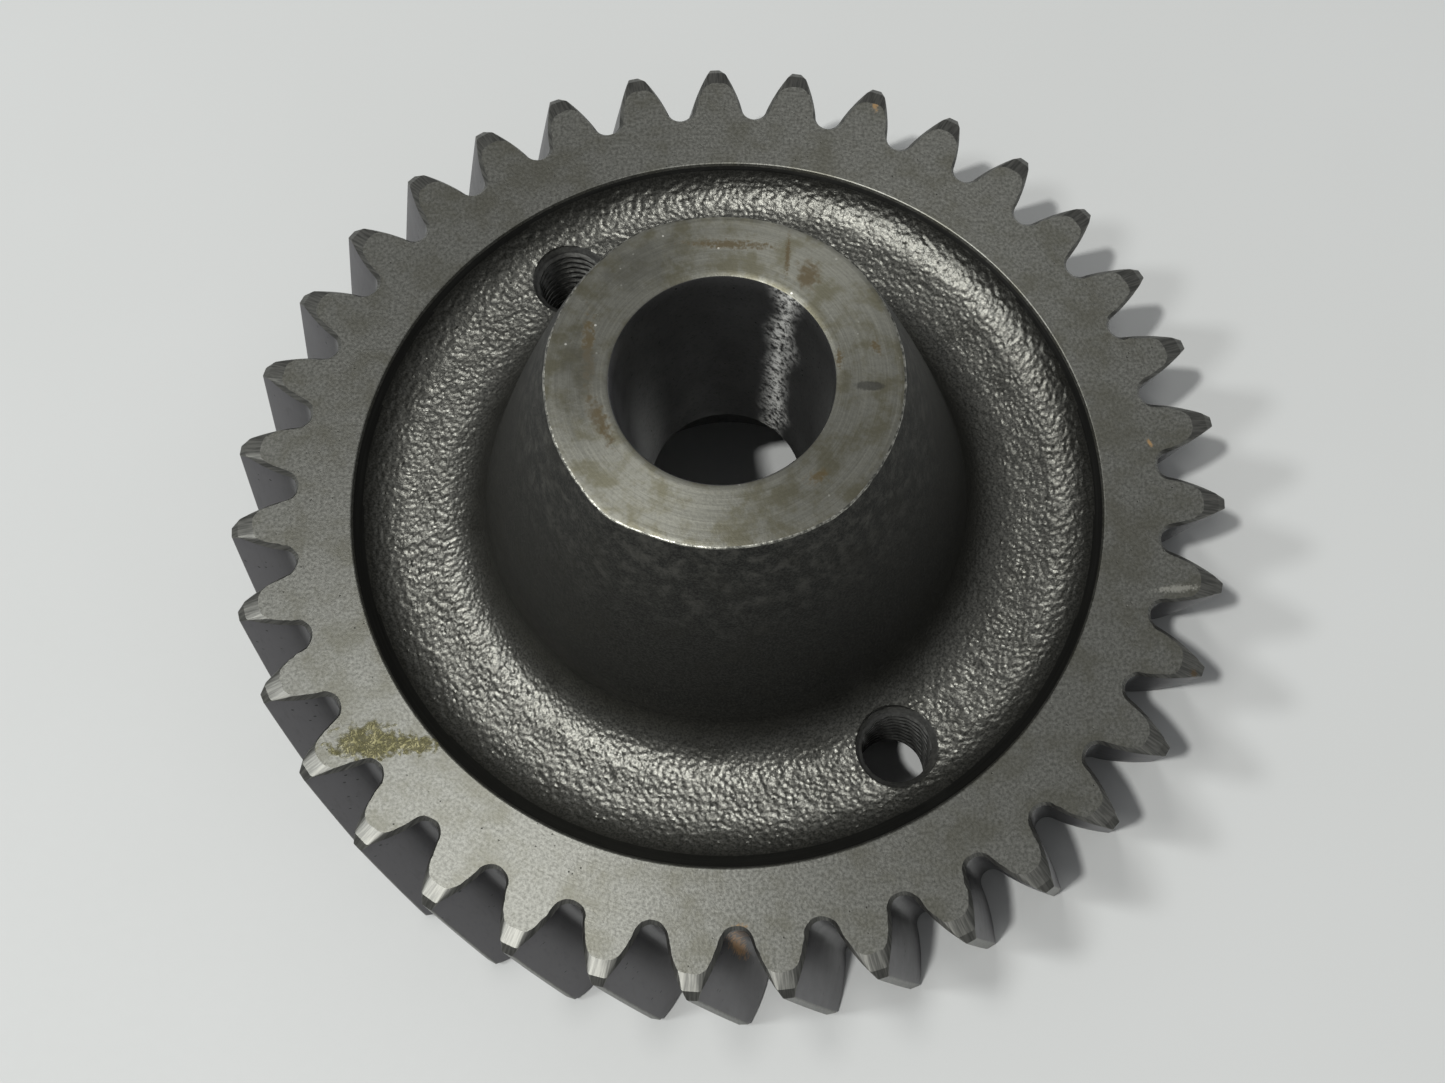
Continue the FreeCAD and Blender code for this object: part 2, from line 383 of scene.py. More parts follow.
def front_height(x, y):
    """Smooth height of the web's front outside the hub fillet: floor, bowl and turned cone."""
    radius = np.hypot(x, y)
    width = lip_width(np.arctan2(y, x))
    top = FACE - LIP_BREAK
    centre = TROUGH_FLOOR + BOWL_RADIUS
    meeting = top - width * MACHINED_SLOPE
    start = LIP_RADIUS - width - np.sqrt(BOWL_RADIUS**2 - (centre - meeting) ** 2)
    rise = np.clip(radius - start, 0, BOWL_RADIUS * 0.999)
    bowl = centre - np.sqrt(BOWL_RADIUS**2 - rise**2)
    return np.where(radius > LIP_RADIUS - width, top - (LIP_RADIUS - radius) * MACHINED_SLOPE, bowl)


def trough_profile():
    """From the hub seam down the cone, round the fillet and across the floor, clockwise."""
    low = SEAM_HEIGHT
    slope = CONE_SPREAD - 2 * CONE_BULGE * (HUB_END - low)
    lean = math.atan2(1.0, slope)
    foot = cone_radius(TROUGH_FLOOR)
    tangent = HUB_FILLET * math.tan(lean / 2)
    centre = foot + tangent
    profile = []
    steep_end = TROUGH_FLOOR + tangent * math.sin(lean)
    steep_steps = 3
    for k in range(steep_steps):
        height = low + (steep_end - low) * k / steep_steps
        profile.append((cone_radius(height), height))
    arc_steps = 48
    for k in range(arc_steps + 1):
        turn = lean * (1 - k / arc_steps)
        profile.append((centre - HUB_FILLET * math.sin(turn), TROUGH_FLOOR + HUB_FILLET * (1 - math.cos(turn))))
    return profile


# ---------------------------------------------------------------- web


def hole_centre(turn):
    angle = PULLER_ANGLE + turn
    return np.array([PULLER_CIRCLE * math.cos(angle), PULLER_CIRCLE * math.sin(angle)])


def build_web(skin_metal, lip_metal):
    """The forged disc as one closed shell, open only at the two holes; gives back each hole's centre and mouth for its
    thread.
    """
    columns = 1080
    angles = ring_angles(columns)
    profile = trough_profile()
    start = profile[-1][0]
    reach = 50
    for k in range(1, reach + 1):
        profile.append((start + (LIP_RADIUS - start) * k / reach, 0.0))
    front = revolve(profile, angles)
    flat = front[len(profile) - reach - 1 :]
    flat[..., 2] = front_height(flat[..., 0], flat[..., 1])
    smooth = front.copy()
    radius = np.hypot(front[..., 0], front[..., 1])
    edge = LIP_RADIUS - lip_width(np.arctan2(front[..., 1], front[..., 0]))
    forged = ramp(radius, edge + 0.05, edge - 0.35)
    relief = skin_relief(smooth, skin_strength(smooth)) * forged
    front = smooth + grid_normals(smooth) * relief[..., None]
    front[-1, :, :2] = smooth[-1, :, :2]
    front[0] = smooth[0] + grid_normals(smooth)[0] * relief[0][..., None]

    cove = 52.0
    back = [(LIP_RADIUS, 6.0), (LIP_RADIUS, 4.0)]
    cove_steps = 10
    for k in range(1, cove_steps + 1):
        turn = math.pi / 2 * k / cove_steps
        back.append((LIP_RADIUS - (LIP_RADIUS - cove) * math.sin(turn), 4.0 + (WEB_BACK - 4.0) * (1 - math.cos(turn))))
    back_steps = 26
    for k in range(1, back_steps + 1):
        back.append((cove + (SEAM_RADIUS - cove) * k / back_steps, WEB_BACK))
    rear = revolve(back, angles)
    lumps = skin_relief(rear, np.full(rear.shape[:2], 0.8))
    lumps[:3] = 0
    rear[..., 2] -= lumps
    grid = np.concatenate([front, rear])
    rows = len(grid)
    faces = grid_faces(rows, columns, close_rows=True)
    points = grid.reshape(-1, 3).copy()

    front_rows = len(front)
    row_of = np.arange(len(faces)) // columns
    is_front = row_of < front_rows - 1
    region = np.where(is_front & (forged[np.minimum(row_of, front_rows - 1), np.arange(len(faces)) % columns] < 0.5), 1, 0)
    threads = []
    keep = np.ones(len(faces), bool)
    for turn in (0.0, math.pi):
        centre = hole_centre(turn)
        mouth = mouth_radius(centre)
        offset = points[:, :2] - centre
        away = np.hypot(offset[:, 0], offset[:, 1])
        bearing = np.arctan2(offset[:, 1], offset[:, 0])
        row = np.arange(len(points)) // columns
        limit = np.where(row < front_rows, mouth(bearing), THREAD_ROOT + 0.5)
        inside = away < limit
        touched = inside[faces]
        gone = touched.all(axis=1)
        border = np.unique(faces[~gone & touched.any(axis=1)])
        border = border[inside[border]]
        scale = limit[border] / np.maximum(away[border], 1e-9)
        points[border, :2] = centre + offset[border] * scale[:, None]
        keep &= ~gone
        threads.append((centre, mouth))
    make_piece(
        "web_forging",
        points,
        faces[keep],
        [skin_metal, lip_metal],
        region[keep],
        "web",
        40,
    )
    return threads


def mouth_radius(centre):
    """How far the countersink's cone reaches before it breaks out of the trough, by direction."""
    bearings = np.linspace(-math.pi, math.pi, 181)
    reach = np.full(len(bearings), THREAD_ROOT)
    for _ in range(12):
        height = surface_height(centre[0] + reach * np.cos(bearings), centre[1] + reach * np.sin(bearings))
        reach = np.clip(THREAD_CORE + height - COUNTERSINK_FOOT, THREAD_CORE + 0.3, COUNTERSINK_LIMIT)
    return lambda bearing: np.interp(bearing, bearings, reach)


def surface_height(x, y):
    """Smooth height of the web's front anywhere on it."""
    profile = np.array(trough_profile())[::-1]
    radius = np.hypot(x, y)
    inner = np.interp(-radius, -profile[:, 0], profile[:, 1])
    return np.where(radius < profile[0, 0], inner, front_height(x, y))


def build_thread(name, centre, mouth, thread_metal):
    """A tapped hole: one open tube from the web's back to its countersunk mouth in the trough."""
    columns = 120
    bearing = ring_angles(columns)
    wrapped = np.arctan2(np.sin(bearing), np.cos(bearing))
    edge = mouth(wrapped)
    top = surface_height(centre[0] + edge * np.cos(bearing), centre[1] + edge * np.sin(bearing))
    steps_per_turn = 14
    straight = int((COUNTERSINK_FOOT - WEB_BACK) / THREAD_PITCH * steps_per_turn)
    cone_steps = 10
    heights = np.linspace(WEB_BACK, COUNTERSINK_FOOT, straight)[:, None] * np.ones(columns)
    cone = COUNTERSINK_FOOT + (top - COUNTERSINK_FOOT) * np.linspace(0, 1, cone_steps + 1)[1:, None]
    heights = np.concatenate([heights, cone])
    phase = (heights / THREAD_PITCH - bearing / (2 * math.pi)) % 1.0
    ridge = np.clip(np.abs(phase - 0.5) * 2.9 - 0.42, 0, 1)
    radius = THREAD_CORE + (THREAD_ROOT - THREAD_CORE) * ridge
    reach = np.clip(heights - COUNTERSINK_FOOT, 0, None)
    radius = np.maximum(radius, np.minimum(THREAD_CORE + reach, edge))
    radius = np.maximum(radius, THREAD_ROOT + 0.5 - (heights - WEB_BACK))
    radius[-1] = edge
    grid = np.empty(heights.shape + (3,))
    grid[..., 0] = centre[0] + radius * np.cos(bearing)
    grid[..., 1] = centre[1] + radius * np.sin(bearing)
    grid[..., 2] = heights
    grid[-1, :, 2] -= 0.03
    faces = grid_faces(len(grid), columns)
    region = np.zeros(len(faces))
    make_piece(name, grid.reshape(-1, 3), faces, [thread_metal], region, "web", 28)


# ---------------------------------------------------------------- hub


def end_wobble(angle):
    """How far the hub's end strays from round, where the facing cut meets the forging."""
    wobble = 0.32 * np.cos(angle - math.radians(30))
    bumps = ((-128, 0.62, 11), (117, 0.5, 15), (46, 0.18, 14), (-50, 0.3, 13), (-82, -0.12, 14), (-170, -0.15, 16))
    for degrees, height, width in bumps:
        away = (angle - math.radians(degrees) + math.pi) % (2 * math.pi) - math.pi
        wobble = wobble + height * np.exp(-((away / math.radians(width)) ** 2))
    return wobble


def build_hub(skin_metal, end_metal, bore_metal, burr_metal):
    """The conical boss as one closed shell: cone, end face, tapered bore, nut seat and pocket."""
    columns = 540
    angles = ring_angles(columns)
    cone_rows = 96
    # traced clockwise from the nut seat up the bore, out over the end and down the cone
    bore_rows = 14
    bore = []
    for k in range(bore_rows + 1):
        height = NUT_SEAT + (HUB_END - 0.35 - NUT_SEAT) * k / bore_rows
        bore.append((BORE_MOUTH - BORE_TAPER * (HUB_END - height), height))
    mouth = [(BORE_MOUTH + 0.12, HUB_END - 0.1), (BORE_MOUTH + 0.38, HUB_END)]
    end_rows = 12
    end = []
    rim_start = HUB_END_RADIUS - 0.25
    for k in range(1, end_rows + 1):
        end.append((mouth[-1][0] + (rim_start - mouth[-1][0]) * k / end_rows, HUB_END))
    cone = [(HUB_END_RADIUS - 0.06, HUB_END - 0.05), (HUB_END_RADIUS + 0.04, HUB_END - 0.25)]
    for k in range(1, cone_rows + 1):
        height = HUB_END - 0.25 + (SEAM_HEIGHT - HUB_END + 0.25) * k / cone_rows
        cone.append((cone_radius(height), height))
    back = [
        (cone_radius(SEAM_HEIGHT), WEB_BACK),
        (NUT_POCKET + 1.0, WEB_BACK),
        (NUT_POCKET, WEB_BACK + 1.0),
        (NUT_POCKET, NUT_SEAT - 0.6),
        (NUT_POCKET - 0.6, NUT_SEAT),
        (BORE_MOUTH - BORE_TAPER * (HUB_END - NUT_SEAT) + 0.3, NUT_SEAT),
    ]
    profile = bore + mouth + end + cone + back
    grid = revolve(profile, angles)
    first_end = len(bore) + len(mouth)
    first_cone = first_end + len(end)
    first_back = first_cone + len(cone)

    # the end's outline strays from round, and the cone below grows round again
    radius = np.hypot(grid[..., 0], grid[..., 1])
    height = grid[..., 2]
    wobble = end_wobble(angles)[None, :]
    share = np.zeros(len(profile))
    share[first_end:first_cone] = np.linspace(0.05, 1, end_rows) ** 2
    share[first_cone:first_back] = 1.0
    fade = np.exp(-(HUB_END - height) / 15.0) * share[:, None]
    fade = fade * ramp(height, SEAM_HEIGHT, SEAM_HEIGHT + 8)
    stretched = radius + wobble * fade
    grid[..., 0] *= stretched / radius
    grid[..., 1] *= stretched / radius

    smooth = grid.copy()
    normals = grid_normals(smooth)
    relief = skin_relief(smooth, skin_strength(smooth))
    relief[:first_cone] = 0
    relief[first_back:] = 0
    # the burr that the facing tool left along the end's outer edge
    edge_noise = smooth_noise(smooth, 0.9, 51)
    relief[first_cone] = 0.05 * edge_noise[first_cone]
    relief[first_cone + 1] = 0.09 * edge_noise[first_cone + 1]
    grid = smooth + normals * relief[..., None]
    grid[..., 2] = np.minimum(grid[..., 2], HUB_END)
    rows = len(grid)
    faces = grid_faces(rows, columns, close_rows=True)
    SKIN, END, BORE, BURR = 0, 1, 2, 3
    region = np.full((rows, columns), SKIN)
    region[: len(bore)] = BORE
    region[len(bore) : first_cone] = END
    region[first_cone - 1 : first_cone + 1] = BURR
    region[first_back:] = BORE
    make_piece(
        "hub_boss",
        grid.reshape(-1, 3),
        faces,
        [skin_metal, end_metal, bore_metal, burr_metal],
        region.reshape(-1),
        "hub",
        32,
    )


# ---------------------------------------------------------------- materials


class Tree:
    """Short names for adding and joining the nodes of one material."""

    def __init__(self, name):
        self.material = bpy.data.materials.new(name)
        self.material.use_nodes = True
        self.nodes = self.material.node_tree.nodes
        self.links = self.material.node_tree.links
        self.shader = self.nodes["Principled BSDF"]
        self.place = self.add("ShaderNodeTexCoord").outputs["Object"]

    def add(self, kind, **settings):
        node = self.nodes.new(kind)
        for key, value in settings.items():
            setattr(node, key, value)
        return node

    def put(self, socket, value):
        if isinstance(value, bpy.types.NodeSocket):
            self.links.new(value, socket)
        else:
            socket.default_value = value

    def math(self, operation, a, b=0.0, c=0.0):
        node = self.add("ShaderNodeMath", operation=operation)
        for socket, value in zip(node.inputs, (a, b, c)):
            self.put(socket, value)
        return node.outputs[0]

    def noise(self, size_mm, detail=2.0, roughness=0.5, place=None, distortion=0.0):
        """Noise from 0 to 1 with features of about the given size."""
        node = self.add("ShaderNodeTexNoise")
        self.put(node.inputs["Vector"], place or self.place)
        self.put(node.inputs["Scale"], 1.0 / (size_mm * MM))
        self.put(node.inputs["Detail"], detail)
        self.put(node.inputs["Roughness"], roughness)
        self.put(node.inputs["Distortion"], distortion)
        return node.outputs["Fac"]

    def steps(self, value, low, high):
        """A value brought from low..high to 0..1, smoothly."""
        node = self.add("ShaderNodeMapRange", interpolation_type="SMOOTHSTEP")
        for name, item in (("Value", value), ("From Min", low), ("From Max", high)):
            self.put(node.inputs[name], item)
        return node.outputs["Result"]

    def mix(self, factor, a, b):
        node = self.add("ShaderNodeMix", data_type="RGBA")
        self.put(node.inputs["Factor"], factor)
        for socket, colour in ((node.inputs[6], a), (node.inputs[7], b)):
            self.put(socket, colour if isinstance(colour, bpy.types.NodeSocket) else (*colour, 1.0))
        return node.outputs[2]

    def blend_value(self, factor, a, b):
        node = self.add("ShaderNodeMix", data_type="FLOAT")
        for socket, value in zip((node.inputs["Factor"], node.inputs[2], node.inputs[3]), (factor, a, b)):
            self.put(socket, value)
        return node.outputs[0]

    def voronoi(self, size_mm, feature="F1", place=None, randomness=1.0):
        node = self.add("ShaderNodeTexVoronoi", feature=feature)
        self.put(node.inputs["Vector"], place or self.place)
        self.put(node.inputs["Scale"], 1.0 / (size_mm * MM))
        self.put(node.inputs["Randomness"], randomness)
        return node.outputs["Distance"]

    def axes(self):
        """The place's X, Y and Z, and its distance from the bore axis."""
        split = self.add("ShaderNodeSeparateXYZ")
        self.put(split.inputs[0], self.place)
        x, y, z = split.outputs
        square = self.math("ADD", self.math("MULTIPLY", x, x), self.math("MULTIPLY", y, y))
        return x, y, z, self.math("SQRT", square)

    def streaks(self, degrees, radial_mm, height_mm, detail=2.0, roughness=0.5):
        """Noise with features of the given size round the axis, outward and up, without a seam."""
        x, y, z, radius = self.axes()
        turns = 1.0 / math.radians(degrees)
        join = self.add("ShaderNodeCombineXYZ")
        self.put(join.inputs[0], self.math("MULTIPLY", self.math("DIVIDE", x, radius), turns))
        self.put(join.inputs[1], self.math("MULTIPLY", self.math("DIVIDE", y, radius), turns))
        self.put(join.inputs[2], self.math("DIVIDE", radius, radial_mm * MM))
        node = self.add("ShaderNodeTexNoise", noise_dimensions="4D")
        self.put(node.inputs["Vector"], join.outputs[0])
        self.put(node.inputs["W"], self.math("DIVIDE", z, height_mm * MM))
        self.put(node.inputs["Scale"], 1.0)
        self.put(node.inputs["Detail"], detail)
        self.put(node.inputs["Roughness"], roughness)
        return node.outputs["Fac"]

    def patch(self, x_mm, y_mm, long_mm, wide_mm, degrees=0.0, ragged=0.5, soft=0.5):
        """1 inside an oval patch seen from above, 0 outside, with a ragged edge."""
        shift = self.add("ShaderNodeVectorMath", operation="SUBTRACT")
        self.put(shift.inputs[0], self.place)
        self.put(shift.inputs[1], (x_mm * MM, y_mm * MM, 0.0))
        turn = self.add("ShaderNodeVectorRotate", rotation_type="Z_AXIS")
        self.put(turn.inputs["Vector"], shift.outputs[0])
        self.put(turn.inputs["Angle"], -math.radians(degrees))
        scale = self.add("ShaderNodeVectorMath", operation="MULTIPLY")
        self.put(scale.inputs[0], turn.outputs[0])
        self.put(scale.inputs[1], (1 / (long_mm * MM), 1 / (wide_mm * MM), 0.0))
        length = self.add("ShaderNodeVectorMath", operation="LENGTH")
        self.put(length.inputs[0], scale.outputs[0])
        rough = self.noise(min(long_mm, wide_mm) * 0.5, 3.0)
        size = self.math("ADD", length.outputs["Value"], self.math("MULTIPLY", self.math("SUBTRACT", rough, 0.5), 2 * ragged))
        return self.steps(size, 1.0, 1.0 - soft)

    def bump(self, height, depth_mm, strength=1.0, under=None):
        node = self.add("ShaderNodeBump")
        self.put(node.inputs["Strength"], strength)
        self.put(node.inputs["Distance"], depth_mm * MM)
        self.put(node.inputs["Height"], height)
        if under is not None:
            self.put(node.inputs["Normal"], under)
        return node.outputs["Normal"]

    def finish(self, colour, roughness, normal, metallic):
        self.put(self.shader.inputs["Base Color"], colour)
        self.put(self.shader.inputs["Roughness"], roughness)
        self.put(self.shader.inputs["Normal"], normal)
        self.put(self.shader.inputs["Metallic"], metallic)
        return self.material


def joined(tree, masks):
    """The largest of several masks."""
    total = masks[0]
    for mask in masks[1:]:
        total = tree.math("MAXIMUM", total, mask)
    return total


def turned(tree, amount):
    """Stretches the gloss across concentric tool marks, as on a face turned about the bore."""
    tangent = tree.add("ShaderNodeTangent", direction_type="RADIAL", axis="Z")
    tree.put(tree.shader.inputs["Tangent"], tangent.outputs[0])
    tree.shader.inputs["Anisotropic"].default_value = amount
    tree.shader.inputs["Anisotropic Rotation"].default_value = 0.25


def rim_face_material():
    """Satin turned face: fine mottled grain, pits, an old oil stain and a few rust flecks."""
    t = Tree("machined_face")
    grain = t.noise(0.5, 3.0, 0.65)
    blotch = t.noise(7.0, 4.0, 0.6)
    lines = t.streaks(9.0, 0.3, 5.0)
    pale, dark = (0.208, 0.208, 0.189), (0.116, 0.116, 0.104)
    colour = t.mix(t.steps(grain, 0.3, 0.7), dark, pale)
    colour = t.mix(t.math("MULTIPLY", t.steps(blotch, 0.42, 0.68), 0.6), colour, (0.108, 0.105, 0.082))
    pits = t.steps(t.voronoi(1.5), 0.1, 0.05)
    pits = t.math("MULTIPLY", pits, t.steps(t.noise(3.0), 0.5, 0.62))
    colour = t.mix(t.math("MULTIPLY", pits, 0.8), colour, (0.03, 0.03, 0.026))
    stain = joined(
        t,
        [
            t.patch(-50.6, -39.1, 8.3, 1.9, 3.0, 1.1, 0.5),
            t.patch(-52.4, -38.5, 5.2, 3.1, 8.0, 1.1, 0.5),
            t.patch(-45.9, -38.9, 4.4, 1.5, -4.0, 1.0, 0.5),
        ],
    )
    shrivel = t.noise(0.9, 4.0, 0.7, distortion=1.6)
    cracks = t.steps(t.math("ABSOLUTE", t.math("SUBTRACT", shrivel, 0.5)), 0.0, 0.1)
    film = t.mix(t.steps(t.noise(1.6, 3.0), 0.35, 0.65), (0.36, 0.33, 0.16), (0.17, 0.155, 0.05))
    film = t.mix(cracks, (0.07, 0.063, 0.02), film)
    colour = t.mix(t.math("MULTIPLY", stain, 0.85), colour, film)
    scuff = t.patch(67.3, -15.6, 4.2, 0.7, 4.0, 0.9, 0.7)
    colour = t.mix(t.math("MULTIPLY", scuff, 0.5), colour, (0.55, 0.54, 0.48))
    rust = joined(
        t,
        [
            t.patch(24.4, 68.2, 0.7, 1.7, 0.0, 1.0, 0.7),
            t.patch(64.8, 7.9, 0.4, 1.0, 25.0, 0.8, 0.7),
            t.patch(1.6, -66.0, 1.5, 0.9, 20.0, 1.0, 0.7),
            t.patch(46.1, -49.7, 0.7, 0.4, 30.0, 1.0, 0.7),
        ],
    )
    colour = t.mix(rust, colour, (0.26, 0.16, 0.065))
    rough = t.math("ADD", 0.34, t.math("MULTIPLY", grain, 0.12))
    rough = t.math("ADD", rough, t.math("MULTIPLY", joined(t, [stain, rust]), 0.15))
    metallic = t.blend_value(joined(t, [t.math("MULTIPLY", stain, 0.55), rust]), 0.92, 0.0)
    height = t.math("ADD", t.math("MULTIPLY", grain, 0.7), t.math("MULTIPLY", lines, 0.5))
    height = t.math("SUBTRACT", height, t.math("MULTIPLY", pits, 1.4))
    height = t.math("ADD", height, t.math("MULTIPLY", t.math("MULTIPLY", stain, cracks), 1.0))
    turned(t, 0.45)
    return t.finish(colour, rough, t.bump(height, 0.03, 0.9), metallic)


def chamfer_material():
    """Tooth-end chamfers: the same steel with short scratches across them."""
    t = Tree("machined_chamfer")
    stripes = t.streaks(0.22, 3.5, 3.5, 3.0, 0.6)
    colour = t.mix(t.steps(stripes, 0.35, 0.66), (0.105, 0.105, 0.097), (0.19, 0.189, 0.173))
    rust = joined(t, [t.patch(68.8, -28.5, 0.7, 0.8, 0.0, 1.0, 0.7), t.patch(12.4, -71.9, 0.7, 0.8, 0.0, 1.0, 0.7)])
    colour = t.mix(t.math("MULTIPLY", rust, 0.6), colour, (0.17, 0.11, 0.05))
    return t.finish(colour, t.math("ADD", 0.34, t.math("MULTIPLY", stripes, 0.15)), t.bump(stripes, 0.02, 0.5), 0.9)


def flank_material():
    """Rolled tooth flanks: smooth, dark and slightly violet, darker and glossier towards the roots, with small nicks.
    """
    t = Tree("tooth_flank")
    deep = t.steps(t.axes()[3], 0.0712, 0.0662)
    cloud = t.noise(3.5, 3.0, 0.6)
    streaks = t.streaks(0.5, 0.6, 7.0, 2.0, 0.6)
    colour = t.mix(cloud, (0.068, 0.065, 0.071), (0.108, 0.104, 0.111))
    colour = t.mix(t.math("MULTIPLY", t.steps(streaks, 0.5, 0.75), 0.4), colour, (0.05, 0.048, 0.05))
    colour = t.mix(t.math("MULTIPLY", deep, 0.6), colour, (0.04, 0.039, 0.04))
    nicks = t.math("MULTIPLY", t.steps(t.voronoi(1.9), 0.16, 0.09), t.steps(t.noise(5.0), 0.48, 0.55))
    colour = t.mix(nicks, colour, (0.012, 0.012, 0.012))
    rust = joined(t, [t.patch(1.6, -67.1, 1.7, 1.3, 0.0, 1.0, 0.7), t.patch(46.1, -50.5, 0.7, 0.7, 0.0, 1.0, 0.7)])
    colour = t.mix(rust, colour, (0.50, 0.25, 0.06))
    grain = t.noise(0.3, 2.0)
    rough = t.math("ADD", 0.33, t.math("MULTIPLY", cloud, 0.16))
    rough = t.math("SUBTRACT", rough, t.math("MULTIPLY", deep, 0.1))
    height = t.math("SUBTRACT", t.math("MULTIPLY", grain, 0.4), t.math("MULTIPLY", nicks, 1.5))
    return t.finish(colour, rough, t.bump(height, 0.02, 0.6), t.blend_value(rust, 0.75, 0.0))


def skin_material():
    """Forging skin: near-black scale with an oily gloss, smoother and greyer up the hub, with painted shade in the
    trough next to the lip wall and at the foot of the hub cone.
    """
    t = Tree("forging_skin")
    z = t.axes()[2]
    upper = t.steps(z, 0.0315, 0.040)
    near_end = t.math("MULTIPLY", t.steps(z, 0.048, 0.072), t.steps(t.noise(2.2, 5.0, 0.7), 0.42, 0.72))
    grain = t.noise(0.33, 3.0, 0.6)
    cloud = t.noise(6.0, 3.0, 0.55)
    trough = t.mix(t.steps(grain, 0.34, 0.62), (0.075, 0.075, 0.068), (0.175, 0.173, 0.155))
    radius = t.axes()[3]
    # painted shade: the trough's colour is darkened next to the recess wall and round the foot of the hub cone, where
    # they shade it
    painted_shade_at_lip_and_foot = t.math("MAXIMUM", t.steps(radius, 0.0515, 0.0562), t.steps(radius, 0.0425, 0.0365))
    trough = t.mix(t.math("MULTIPLY", painted_shade_at_lip_and_foot, 0.6), trough, (0.03, 0.03, 0.027))
    cone = t.mix(t.steps(grain, 0.35, 0.7), (0.022, 0.022, 0.0205), (0.055, 0.055, 0.05))
    cone = t.mix(t.math("MULTIPLY", near_end, 0.4), cone, (0.18, 0.176, 0.157))
    colour = t.mix(upper, trough, cone)
    colour = t.mix(t.math("MULTIPLY", t.steps(cloud, 0.5, 0.75), 0.35), colour, (0.035, 0.034, 0.028))
    sheen = t.math("ADD", 0.27, t.math("MULTIPLY", grain, 0.12))
    matt = t.math("ADD", 0.46, t.math("MULTIPLY", grain, 0.14))
    rough = t.blend_value(upper, sheen, matt)
    return t.finish(colour, rough, t.bump(grain, 0.07, 0.9), 0.85)


def lip_material():
    """The narrow turned cone just inside the recess lip, oily and dark, darkened further as painted shade under the
    recess wall.
    """
    t = Tree("turned_lip")
    lines = t.streaks(12.0, 0.25, 0.4)
    # painted shade: the turned cone is kept near black for the shade inside the recess
    colour = t.mix(lines, (0.02, 0.02, 0.0185), (0.05, 0.05, 0.046))
    return t.finish(colour, t.math("ADD", 0.3, t.math("MULTIPLY", lines, 0.12)), t.bump(lines, 0.025, 0.7), 0.85)


def thread_material():
    """The tapped holes: dark oily steel, brighter on the crests."""
    t = Tree("tapped_thread")
    grain = t.noise(0.5, 2.0)
    colour = t.mix(grain, (0.05, 0.05, 0.048), (0.18, 0.18, 0.168))
    return t.finish(colour, t.math("ADD", 0.26, t.math("MULTIPLY", grain, 0.15)), t.bump(grain, 0.015, 0.6), 0.85)


def end_face_material():
    """The hub's faced end: concentric tool marks, brown stains and bright specks."""
    t = Tree("faced_end")
    grooves = t.streaks(40.0, 0.26, 5.0, 3.0, 0.7)
    grain = t.noise(0.5, 3.0, 0.6)
    cloud = t.noise(3.6, 4.0, 0.62)
    colour = t.mix(t.steps(grooves, 0.32, 0.68), (0.162, 0.161, 0.139), (0.215, 0.213, 0.184))
    colour = t.mix(t.math("MULTIPLY", t.steps(grain, 0.45, 0.75), 0.45), colour, (0.115, 0.113, 0.098))
    olive = joined(
        t,
        [
            t.patch(-17.8, 4.5, 1.1, 6.8, 0.0, 1.0, 0.8),
            t.patch(-16.2, -5.6, 1.5, 5.4, 25.0, 1.0, 0.8),
            t.patch(1.0, 19.9, 8.0, 0.9, -3.0, 1.1, 0.8),
            t.patch(8.9, 18.2, 0.5, 4.2, -4.0, 1.0, 0.8),
            t.patch(11.6, 15.0, 1.9, 2.6, 0.0, 1.0, 0.8),
            t.patch(15.6, 2.8, 0.7, 2.0, 0.0, 1.1, 0.9),
            t.patch(20.5, 4.5, 0.8, 1.6, 20.0, 1.1, 0.9),
            t.patch(12.5, -14.0, 2.2, 1.2, 30.0, 1.1, 0.9),
        ],
    )
    colour = t.mix(t.math("MULTIPLY", t.steps(cloud, 0.42, 0.66), 0.7), colour, (0.105, 0.097, 0.06))
    colour = t.mix(t.math("MULTIPLY", olive, 0.85), colour, (0.066, 0.044, 0.011))
    smear = joined(t, [t.patch(-10.5, 17.0, 8.5, 4.6, 35.0, 0.8, 0.9), t.patch(-18.5, 0.0, 4.0, 9.0, 0.0, 0.8, 0.9)])
    colour = t.mix(t.math("MULTIPLY", smear, 0.5), colour, (0.085, 0.083, 0.07))
    mark = t.patch(19.6, -1.2, 2.4, 0.8, -2.0, 0.25, 0.4)
    colour = t.mix(t.math("MULTIPLY", mark, 0.65), colour, (0.045, 0.045, 0.042))
    specks = t.math("MULTIPLY", t.steps(t.voronoi(2.3), 0.09, 0.05), t.steps(t.noise(4.0), 0.48, 0.58))
    colour = t.mix(t.math("MULTIPLY", specks, 0.8), colour, (0.66, 0.65, 0.60))
    rough = t.math("ADD", 0.36, t.math("MULTIPLY", grain, 0.18))
    rough = t.math("ADD", rough, t.math("MULTIPLY", olive, 0.15))
    height = t.math("ADD", t.math("MULTIPLY", grooves, 0.45), t.math("MULTIPLY", grain, 0.5))
    turned(t, 0.5)
    metallic = t.blend_value(t.math("MULTIPLY", olive, 0.7), 0.9, 0.0)
    return t.finish(colour, rough, t.bump(height, 0.035, 0.9), metallic)


def burr_material():
    """The thin bright edge that the facing tool rolled over round the hub's end."""
    t = Tree("rolled_burr")
    worn = t.noise(0.8, 3.0, 0.65)
    colour = t.mix(t.steps(worn, 0.38, 0.66), (0.10, 0.10, 0.088), (0.42, 0.415, 0.37))
    return t.finish(colour, t.math("ADD", 0.24, t.math("MULTIPLY", worn, 0.14)), t.bump(worn, 0.05, 0.9), 0.95)


